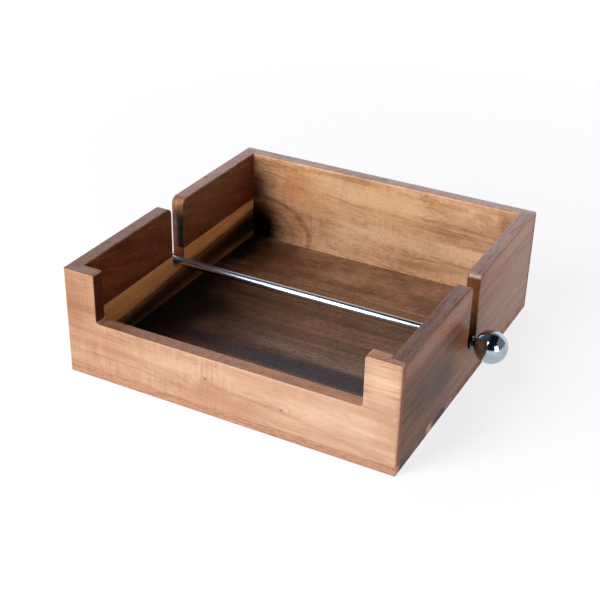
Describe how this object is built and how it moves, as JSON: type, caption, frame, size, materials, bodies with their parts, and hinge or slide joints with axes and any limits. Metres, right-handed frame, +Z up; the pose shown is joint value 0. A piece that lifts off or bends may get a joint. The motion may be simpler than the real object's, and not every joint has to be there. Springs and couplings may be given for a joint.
{
  "type": "napkin holder",
  "caption": "Shallow square wooden napkin tray, cut low at the front, with a lift-out chrome bar that rests across the stack in open-topped side slots.",
  "frame": {"origin": "middle of the tray's underside, on the table", "axes": "+X right along the bar, +Y to the tall rear board, +Z up; the low front is at -Y"},
  "size_m": [0.2294, 0.19, 0.062],
  "materials": {
    "sapwood": "clear satin lacquer",
    "golden_wood": "clear satin lacquer",
    "grey_brown_wood": "clear satin lacquer",
    "dark_wood": "clear satin lacquer",
    "streaked_wood": "clear satin lacquer",
    "base_front_wood": "clear satin lacquer",
    "base_middle_wood": "clear satin lacquer",
    "base_rear_wood": "clear satin lacquer",
    "chrome": "polished"
  },
  "bodies": {
    "tray": {"front_board": "sapwood", "rear_board": "golden_wood", "right_board": "grey_brown_wood", "left_upper_front_stave": "dark_wood", "left_upper_rear_stave": "dark_wood", "left_lower_stave": "streaked_wood", "base_front_stave": "base_front_wood", "base_middle_stave": "base_middle_wood", "base_rear_stave": "base_rear_wood"},
    "bushes": {"left_bush": "chrome", "right_bush": "chrome"},
    "bar": {"rod": "chrome", "left_ball": "chrome", "right_ball": "chrome"}
  },
  "joints": [
    {"name": "bar_lift", "type": "slide", "parent": "tray", "child": "bushes", "axis": [0, 0, 1], "range_m": [0, 0.05]},
    {"name": "bar_spin", "type": "hinge", "parent": "bushes", "child": "bar", "pos_m": [0, 0, 0.0253], "axis": [1, 0, 0], "continuous": true}
  ]
}
